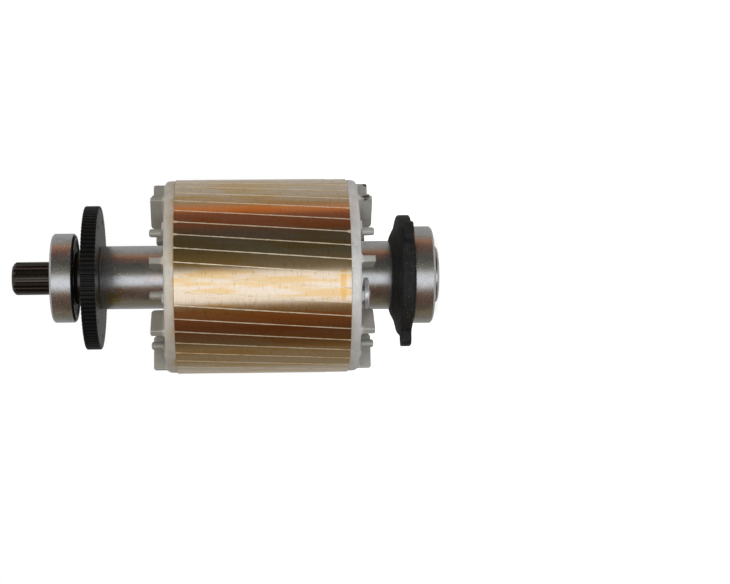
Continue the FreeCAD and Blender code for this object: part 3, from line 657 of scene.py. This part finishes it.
def make_shaft(material):
    """Shaft turned with soft edges, and the splined end with its tapered tip."""
    spline = high_z("front_outer_ring")
    tip = high_z("shaft")
    rear = high_z("rear_outer_ring")
    seat = CORE_REAR - 6.0
    shoulder = CORE_FRONT + 5.5
    gear_low, gear_high = low_z("speed_gear"), high_z("speed_gear")
    front = low_z("front_outer_ring")
    rear_bore, front_bore = BEARINGS["rear"]["bore"], BEARINGS["front"]["bore"]
    inmost = 0.05  # radius at which the outlines close inside the shaft
    # Rear centre hole
    outline = [(inmost, PILOT_DEPTH), (inmost, PILOT_DEPTH - 0.1), (PILOT_RADIUS, PILOT_DEPTH - 0.1)]
    outline += [(PILOT_RADIUS, COUNTERSINK_DEPTH), (COUNTERSINK_RADIUS, 0)]
    # Rear bearing's seat and the plate's place
    outline += [(rear_bore - 1.25, 0), (rear_bore, 1.25), (rear_bore, rear)]
    outline += [(REAR_RADIUS - 0.5, rear), (REAR_RADIUS, rear + 0.5), (REAR_RADIUS, seat)]
    # The thick part in the core
    outline += [(THICK_RADIUS - 0.5, seat), (THICK_RADIUS, seat + 0.5)]
    outline += [(THICK_RADIUS, shoulder - 0.5), (THICK_RADIUS - 0.5, shoulder)]
    # From the core to the gear, the gear's seat and the front bearing's seat
    outline += [(FRONT_RADIUS, shoulder), (FRONT_RADIUS, gear_low - 0.5), (FRONT_RADIUS - 0.6, gear_low)]
    outline += [(GEAR_SEAT, gear_low), (GEAR_SEAT, gear_high + 4.5), (GEAR_SEAT - 0.5, front)]
    outline += [(front_bore, front), (front_bore, spline)]
    # Into the spline, where the body ends
    outline += [(9.9, spline), (9.9, spline - 3), (inmost, spline - 3)]
    body = turned("shaft_body", outline, material, 0.3)
    points, faces = [], []
    # Heights with the share of the full radius that the tapered tip has there
    levels = [(spline - 1, 1.0), (tip - 2.7, 1.0), (tip - 1.2, 0.91), (tip, 0.757)]
    root, outside = SPLINE_ROOT, SPLINE_RADIUS
    per_tooth = [(0.0, root), (0.16, root), (0.26, outside - 0.25), (0.34, outside)]
    per_tooth += [(0.66, outside), (0.74, outside - 0.25), (0.84, root)]
    for height, share in levels:
        for tooth in range(SPLINE_TEETH):
            for place, radius in per_tooth:
                angle = 2 * math.pi * (tooth + place) / SPLINE_TEETH
                limited = min(radius, outside * share)
                points.append((limited * math.cos(angle), limited * math.sin(angle), height))
    around = SPLINE_TEETH * len(per_tooth)
    for level in range(len(levels) - 1):
        for k in range(around):
            here, there = level * around + k, level * around + (k + 1) % around
            faces.append((here, there, there + around, here + around))
    # The end face and its centre hole
    last = (len(levels) - 1) * around
    hole = [(COUNTERSINK_RADIUS, tip), (PILOT_RADIUS, tip - COUNTERSINK_DEPTH)]
    hole += [(PILOT_RADIUS, tip - PILOT_DEPTH), (inmost, tip - PILOT_DEPTH)]
    for radius, height in hole:
        start = len(points)
        for k in range(around):
            angle = math.atan2(points[k][1], points[k][0])
            points.append((radius * math.cos(angle), radius * math.sin(angle), height))
        for k in range(around):
            faces.append((last + k, last + (k + 1) % around, start + (k + 1) % around, start + k))
        last = start
    spline_end = mesh_object("spline", points, faces, material, 25)
    for thing in (body, spline_end):
        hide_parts("shaft")
        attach(thing, "rotor")


def make_gear(material):
    """The CAD's own gear. The walls and floors of its small holes get a near-black material, as painted
    shade.
    """
    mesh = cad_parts["speed_gear"].data
    mesh.materials.clear()
    mesh.materials.append(material)
    # Painted shade: a near-black material inside the small holes
    mesh.materials.append(Look("painted_shade_in_holes", (0.002, 0.002, 0.002), 0.0, 0.9).material)
    inside = low_z("speed_gear") + 0.4
    for face in mesh.polygons:
        centre = face.center / MM
        near_circle = abs(math.hypot(centre.x, centre.y) - GEAR_HOLE_CIRCLE) < 2.5
        if near_circle and inside < centre.z < inside + GEAR_HOLE_DEPTH + 1:
            face.material_index = 1


def make_plate(material):
    """The retainer plate's own solid, melted into a rough casting."""
    plate = bpy.data.objects.new("plate_casting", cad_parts["retainer_plate"].data.copy())
    bpy.context.scene.collection.objects.link(plate)
    plate.data.materials.clear()
    plate.data.materials.append(material)
    cast(plate, PLATE_DETAIL, CAST_SMOOTHING)
    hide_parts("retainer_plate")
    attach(plate, "plate")


def make_bearing(end, steel, shield_steel):
    """Rings and shields of one bearing. The balls and their cage stay as the CAD has them."""
    sizes = BEARINGS[end]
    bore, land, outside, seat = sizes["bore"], sizes["land"], sizes["outside"], sizes["seat"]
    low, high = low_z(f"{end}_outer_ring"), high_z(f"{end}_outer_ring")
    edge = 0.8
    inner = [(bore, low + edge), (bore + edge, low), (land, low)]
    inner += [(land, high), (bore + edge, high), (bore, high - edge)]
    ring = turned(f"{end}_inner", inner, steel, 0.25)
    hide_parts(f"{end}_inner_ring")
    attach(ring, "rotor")
    edge = RACE_CHAMFER
    outer = [(seat, low), (outside - edge, low), (outside, low + edge)]
    outer += [(outside, high - edge), (outside - edge, high), (seat, high)]
    ring = turned(f"{end}_outer", outer, steel, 0.3)
    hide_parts(f"{end}_outer_ring")
    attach(ring, f"{end}_outer")
    hole = land + 0.35
    for side, face, inward in (("low", low, 1), ("high", high, -1)):
        # Radius and depth under the face: the rim lies in the outer ring, and the middle is set back
        outline = [(hole, 0.85), (hole + 0.3, 0.7), (seat - 1.6, 0.7), (seat - 0.9, 0.3)]
        outline += [(seat, 0.25), (seat, 1.2), (hole, 1.2)]
        outline = [(radius, face + inward * depth) for radius, depth in outline]
        shield = turned(f"{end}_{side}_cover", outline if inward < 0 else outline[::-1], shield_steel, 0.15)
        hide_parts(f"{end}_{side}_shield")
        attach(shield, f"{end}_outer")


# Stage, light and camera


def world_light():
    """White to the camera, even grey light for matte surfaces, and a dim room with one window for gloss."""
    world = bpy.data.worlds.new("room")
    bpy.context.scene.world = world
    world.use_nodes = True
    nodes, links = world.node_tree.nodes, world.node_tree.links
    background = nodes["Background"]
    matte_light = (0.40, 0.40, 0.40, 1)
    room_ends = (0.55, 0.54, 0.52, 1)
    place = nodes.new("ShaderNodeTexCoord")
    split = nodes.new("ShaderNodeSeparateXYZ")
    links.new(place.outputs["Generated"], split.inputs[0])
    back = nodes.new("ShaderNodeMath")
    back.operation = "MULTIPLY"
    back.inputs[1].default_value = -1
    links.new(split.outputs["Y"], back.inputs[0])
    azimuth = nodes.new("ShaderNodeMath")
    azimuth.operation = "ARCTAN2"
    links.new(split.outputs["X"], azimuth.inputs[0])
    links.new(back.outputs[0], azimuth.inputs[1])
    share = nodes.new("ShaderNodeMapRange")
    links.new(azimuth.outputs[0], share.inputs["Value"])
    share.inputs["From Min"].default_value = -math.pi
    share.inputs["From Max"].default_value = math.pi
    # Degrees around the shaft from the camera's side, positive towards +X, and the room's colour there
    behind = [(-180, (0.42, 0.42, 0.41)), (-140, (0.33, 0.32, 0.30)), (-124, (0.22, 0.19, 0.14))]
    brown_side = [
        (-95, (0.19, 0.14, 0.08)), (-86, (0.10, 0.065, 0.035)), (-64, (0.085, 0.032, 0.014)),
        (-46, (0.15, 0.06, 0.02)), (-38, (0.15, 0.095, 0.045)), (-33, (0.26, 0.17, 0.08)),
    ]
    window = [(-29, (0.95, 0.93, 0.93)), (-10, (1.05, 1.06, 1.12)), (4, (0.92, 0.88, 0.84))]
    dark_side = [
        (9, (0.17, 0.14, 0.085)), (30, (0.07, 0.065, 0.045)), (54, (0.06, 0.05, 0.04)),
        (62, (0.13, 0.055, 0.03)), (79, (0.16, 0.065, 0.04)),
    ]
    orange_edge = [(84, (0.46, 0.17, 0.06)), (89, (0.50, 0.20, 0.08)), (94, (0.30, 0.23, 0.16))]
    behind_again = [(110, (0.37, 0.35, 0.32)), (140, (0.42, 0.41, 0.40)), (180, (0.42, 0.42, 0.41))]
    around = behind + brown_side + window + dark_side + orange_edge + behind_again
    room = nodes.new("ShaderNodeValToRGB")
    links.new(share.outputs["Result"], room.inputs["Fac"])
    marks = room.color_ramp.elements
    for mark, (degrees, colour) in zip(list(marks), (around[0], around[-1])):
        mark.position = (degrees + 180) / 360
        mark.color = (*colour, 1)
    for degrees, colour in around[1:-1]:
        mark = marks.new((degrees + 180) / 360)
        mark.color = (*colour, 1)
    # Towards the shaft's own direction the room is plain grey
    tilt = nodes.new("ShaderNodeMath")
    tilt.operation = "ABSOLUTE"
    links.new(split.outputs["Z"], tilt.inputs[0])
    steep = nodes.new("ShaderNodeMapRange")
    steep.inputs["From Min"].default_value = 0.55
    steep.inputs["From Max"].default_value = 0.9
    links.new(tilt.outputs[0], steep.inputs["Value"])
    gloss = nodes.new("ShaderNodeMix")
    gloss.data_type = "RGBA"
    gloss.inputs["B"].default_value = room_ends
    links.new(steep.outputs["Result"], gloss.inputs["Factor"])
    links.new(room.outputs["Color"], gloss.inputs["A"])
    path = nodes.new("ShaderNodeLightPath")
    matte = nodes.new("ShaderNodeMix")
    matte.data_type = "RGBA"
    matte.inputs["A"].default_value = matte_light
    links.new(path.outputs["Is Glossy Ray"], matte.inputs["Factor"])
    links.new(gloss.outputs["Result"], matte.inputs["B"])
    seen = nodes.new("ShaderNodeMix")
    seen.data_type = "RGBA"
    seen.inputs["B"].default_value = (1, 1, 1, 1)
    links.new(path.outputs["Is Camera Ray"], seen.inputs["Factor"])
    links.new(matte.outputs["Result"], seen.inputs["A"])
    links.new(seen.outputs["Result"], background.inputs["Color"])


def make_floor():
    """A pale floor that the camera sees as white, with the rotor's soft shadow."""
    half = 1.5  # in metres
    white = 0.78  # glow that shows as white together with the lamps' light
    corners = [(-half, -half, 0), (half, -half, 0), (half, half, 0), (-half, half, 0)]
    mesh = bpy.data.meshes.new("floor")
    mesh.from_pydata(corners, [], [(0, 1, 2, 3)])
    floor = bpy.data.objects.new("floor", mesh)
    bpy.context.scene.collection.objects.link(floor)
    material = bpy.data.materials.new("floor")
    material.use_nodes = True
    nodes, links = material.node_tree.nodes, material.node_tree.links
    shader = nodes["Principled BSDF"]
    shader.inputs["Base Color"].default_value = (0.8, 0.8, 0.8, 1)
    shader.inputs["Roughness"].default_value = 1
    shader.inputs["Specular IOR Level"].default_value = 0
    shader.inputs["Emission Color"].default_value = (1, 1, 1, 1)
    path = nodes.new("ShaderNodeLightPath")
    glow = nodes.new("ShaderNodeMath")
    glow.operation = "MULTIPLY"
    glow.inputs[1].default_value = white
    links.new(path.outputs["Is Camera Ray"], glow.inputs[0])
    links.new(glow.outputs[0], shader.inputs["Emission Strength"])
    mesh.materials.append(material)
    floor.visible_glossy = False


def lamp(name, place, size, power):
    """A square lamp, in metres and watts, aimed at the rotor's middle and not seen in reflections."""
    data = bpy.data.lights.new(name, "AREA")
    data.shape = "RECTANGLE"
    data.size, data.size_y = size, size
    data.energy = power
    thing = bpy.data.objects.new(name, data)
    bpy.context.scene.collection.objects.link(thing)
    thing.location = place
    rotor_middle = Vector((0, 0, 0.14))
    thing.rotation_euler = (rotor_middle - Vector(place)).to_track_quat("-Z", "Y").to_euler()
    thing.visible_glossy = False


def make_camera():
    """The photograph's view: from -Y, rolled so that +Z points left and +X up in the picture."""
    forward = Vector((0, math.cos(CAMERA_TURN), -math.sin(CAMERA_TURN)))
    right = Vector((0, -math.sin(CAMERA_TURN), -math.cos(CAMERA_TURN)))
    up = right.cross(forward)
    # The line of the shaft lies above the picture's middle and slopes a little
    line_at_middle = SHAFT_LINE_Y - SHAFT_SLOPE * (PICTURE_WIDTH / 2 - SHAFT_LINE_X)
    tilt = math.atan((PICTURE_HEIGHT / 2 - line_at_middle) / FOCAL_LENGTH)
    pitch = Matrix.Rotation(-tilt, 3, right)
    forward, up = pitch @ forward, pitch @ up
    roll = Matrix.Rotation(SHAFT_SLOPE, 3, forward)
    right, up = roll @ right, roll @ up
    data = bpy.data.cameras.new("camera")
    data.lens = FOCAL_LENGTH * SENSOR_WIDTH / PICTURE_WIDTH
    data.sensor_width = SENSOR_WIDTH
    data.shift_x = PICTURE_SLIDE / PICTURE_WIDTH
    camera = bpy.data.objects.new("camera", data)
    bpy.context.scene.collection.objects.link(camera)
    place = Matrix((right, up, -forward)).transposed().to_4x4()
    place.translation = Vector((0, -CAMERA_DISTANCE, CAMERA_STAND))
    camera.matrix_world = place
    bpy.context.scene.camera = camera


def main():
    """Dresses the rotor piece by piece, and sets the room, the floor, the lamps and the camera."""
    laminations = laminations_look()
    warm_cast, cool_cast = front_cast_look(), rear_cast_look()
    ground = shaft_look()
    ring_steel = steel_look("bearing_steel", (0.63, 0.65, 0.67), 0.25).material
    shield_steel = steel_look("shield_steel", (0.44, 0.42, 0.39), 0.34).material
    front_ring_steel = shade_towards_gear(steel_look("front_bearing_steel", (0.63, 0.65, 0.67), 0.25))
    front_shield_steel = shade_towards_gear(steel_look("front_shield_steel", (0.44, 0.42, 0.39), 0.34))
    black, rough_black = gear_look(), plate_look()
    make_core(laminations)
    make_bars(bar_look())
    make_ring_end("rear_casting", CORE_REAR, -1, cool_cast)
    make_ring_end("front_casting", CORE_FRONT, 1, warm_cast)
    make_washer(zinc_look(), cool_cast)
    make_shaft(ground)
    make_plate(rough_black)
    make_bearing("rear", ring_steel, shield_steel)
    make_bearing("front", front_ring_steel, front_shield_steel)
    make_gear(black)
    world_light()
    make_floor()
    lamp("key", (0.45, -1.42, 0.35), 0.7, 14)
    lamp("fill", (-0.55, -1.3, 0.1), 0.7, 8)
    lamp("back", (0.5, 1.4, 0.5), 1.0, 6)
    make_camera()
    bpy.context.scene.view_settings.view_transform = "Standard"


main()
